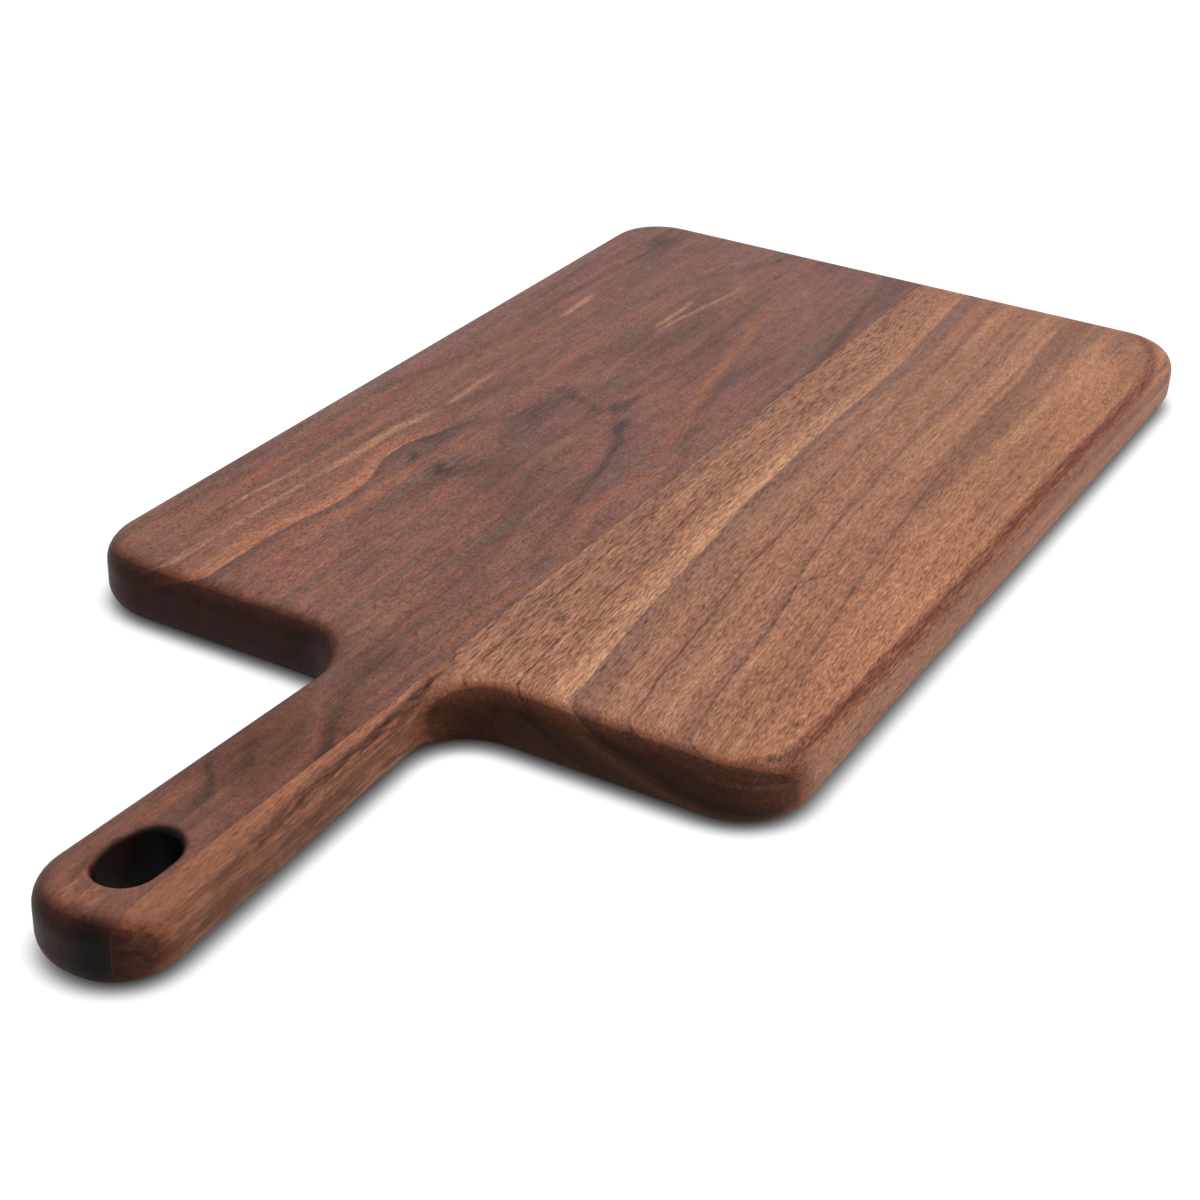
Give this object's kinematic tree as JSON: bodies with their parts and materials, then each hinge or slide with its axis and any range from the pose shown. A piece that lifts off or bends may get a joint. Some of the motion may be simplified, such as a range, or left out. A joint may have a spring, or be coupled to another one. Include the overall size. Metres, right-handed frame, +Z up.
{
  "type": "paddle charcuterie board",
  "caption": "Flat rectangular walnut serving board with rounded edges and a flared paddle handle with a hanging slot.",
  "frame": {"origin": "on the underside, below the middle of the whole board's length and width, so the board stands on Z = 0", "axes": "+Z up, out of the serving face; +Y along the board from the handle to the far edge, so the handle points along -Y; +X to the right when the board is seen from above with the handle nearest"},
  "size_m": [0.245, 0.508, 0.022],
  "materials": {
    "dark_walnut": "flat-sawn dark walnut heartwood, sanded and oiled to a soft satin",
    "light_walnut": "straight-grained lighter walnut heartwood, sanded and oiled to a soft satin",
    "wood_glue": "cured wood glue, seen only as a thin dark line"
  },
  "bodies": {
    "root": {"left_board": "dark_walnut", "glue_line": "wood_glue", "right_board": "light_walnut"}
  },
  "joints": []
}
